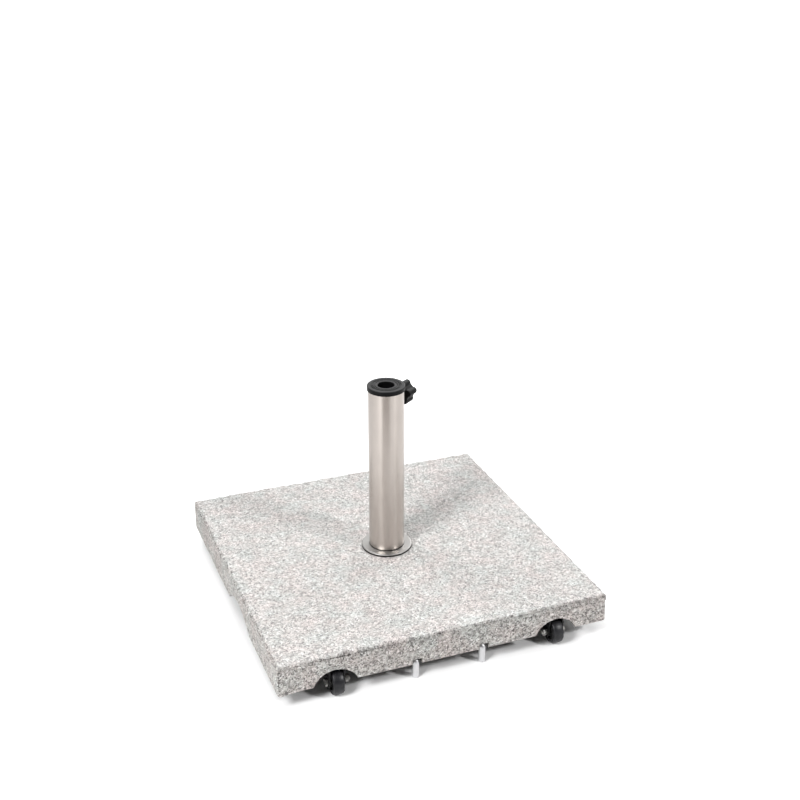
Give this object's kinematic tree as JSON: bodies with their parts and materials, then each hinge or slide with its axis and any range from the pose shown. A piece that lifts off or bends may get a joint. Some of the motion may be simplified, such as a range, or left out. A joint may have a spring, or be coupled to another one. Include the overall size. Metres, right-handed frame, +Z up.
{
  "type": "parasol base",
  "caption": "Square granite parasol base on two wheels and two rubber feet, with a steel tube, nested pole reducers, a star-knob clamp and a pull-out handle.",
  "frame": {"origin": "on the ground under the tube's axis, at the centre of the base", "axes": "+Z up along the tube, -Y towards the wheels, +Y towards the handle's grip"},
  "size_m": [0.5, 0.51, 0.3425],
  "materials": {
    "granite": "flamed",
    "satin_steel": "satin brushed",
    "polished_steel": "polished",
    "zinc_steel": "zinc plated",
    "black_steel": "black coated",
    "black_plastic": "fine texture",
    "wheel_rubber": "soft sheen",
    "wheel_plastic": "moulded",
    "handle_steel": "bright drawn",
    "grip_rubber": "matte ribbed",
    "foot_rubber": "matte",
    "plug_plastic": "moulded"
  },
  "bodies": {
    "base": {"granite_slab": "granite", "upright_tube": "satin_steel", "base_flange": "polished_steel", "tube_end_plate": "zinc_steel", "fixing_bolt": "zinc_steel", "fixing_washer": "zinc_steel", "fixing_lock_washer": "zinc_steel", "clamp_boss": "zinc_steel", "tube_cap": "black_plastic", "wheel_left_fork": "black_steel", "wheel_left_axle_bolt": "zinc_steel", "wheel_left_axle_nut": "zinc_steel", "wheel_left_axle_washers": "zinc_steel", "wheel_right_fork": "black_steel", "wheel_right_axle_bolt": "zinc_steel", "wheel_right_axle_nut": "zinc_steel", "wheel_right_axle_washers": "zinc_steel", "handle_clips": "zinc_steel", "rear_foot_left": "foot_rubber", "rear_foot_right": "foot_rubber", "fork_screws": "zinc_steel", "clip_screws": "zinc_steel", "foot_screws": "zinc_steel", "fork_plugs": "plug_plastic", "clip_plugs": "plug_plastic", "foot_plugs": "plug_plastic"},
    "wheel_left": {"wheel_left_tyre": "wheel_rubber", "wheel_left_hub": "wheel_plastic", "wheel_left_bush": "plug_plastic"},
    "wheel_right": {"wheel_right_tyre": "wheel_rubber", "wheel_right_hub": "wheel_plastic", "wheel_right_bush": "plug_plastic"},
    "handle": {"handle_rod": "handle_steel", "handle_grip": "grip_rubber"},
    "clamp_screw": {"clamp_screw": "zinc_steel"},
    "knob": {"star_knob": "black_plastic"},
    "outer_sleeve": {"reducer_outer": "black_plastic"},
    "middle_sleeve": {"reducer_middle": "black_plastic"},
    "inner_sleeve": {"reducer_inner": "black_plastic"}
  },
  "joints": [
    {"name": "wheel_left_spin", "type": "hinge", "parent": "base", "child": "wheel_left", "pos_m": [-0.164, -0.235, 0.02], "axis": [1, 0, 0], "continuous": true},
    {"name": "wheel_right_spin", "type": "hinge", "parent": "base", "child": "wheel_right", "pos_m": [0.172, -0.235, 0.02], "axis": [1, 0, 0], "continuous": true},
    {"name": "handle_slide", "type": "slide", "parent": "base", "child": "handle", "axis": [0, 1, 0], "range_m": [0, 0.282]},
    {"name": "clamp_feed", "type": "slide", "parent": "base", "child": "clamp_screw", "axis": [-0.809, -0.5878, 0], "range_m": [-0.0063, 0.0026]},
    {"name": "knob_turn", "type": "hinge", "parent": "clamp_screw", "child": "knob", "pos_m": [0, 0, 0.3135], "axis": [-0.809, -0.5878, 0], "range_deg": [-1800, 720]},
    {"name": "outer_sleeve_lift", "type": "slide", "parent": "base", "child": "outer_sleeve", "axis": [0, 0, 1], "range_m": [0, 0.065]},
    {"name": "middle_sleeve_lift", "type": "slide", "parent": "outer_sleeve", "child": "middle_sleeve", "axis": [0, 0, 1], "range_m": [0, 0.065]},
    {"name": "inner_sleeve_lift", "type": "slide", "parent": "middle_sleeve", "child": "inner_sleeve", "axis": [0, 0, 1], "range_m": [0, 0.065]}
  ],
  "couplings": [
    {"joint": "clamp_feed", "follows": "knob_turn", "m_per_rad": 0.00019894}
  ]
}
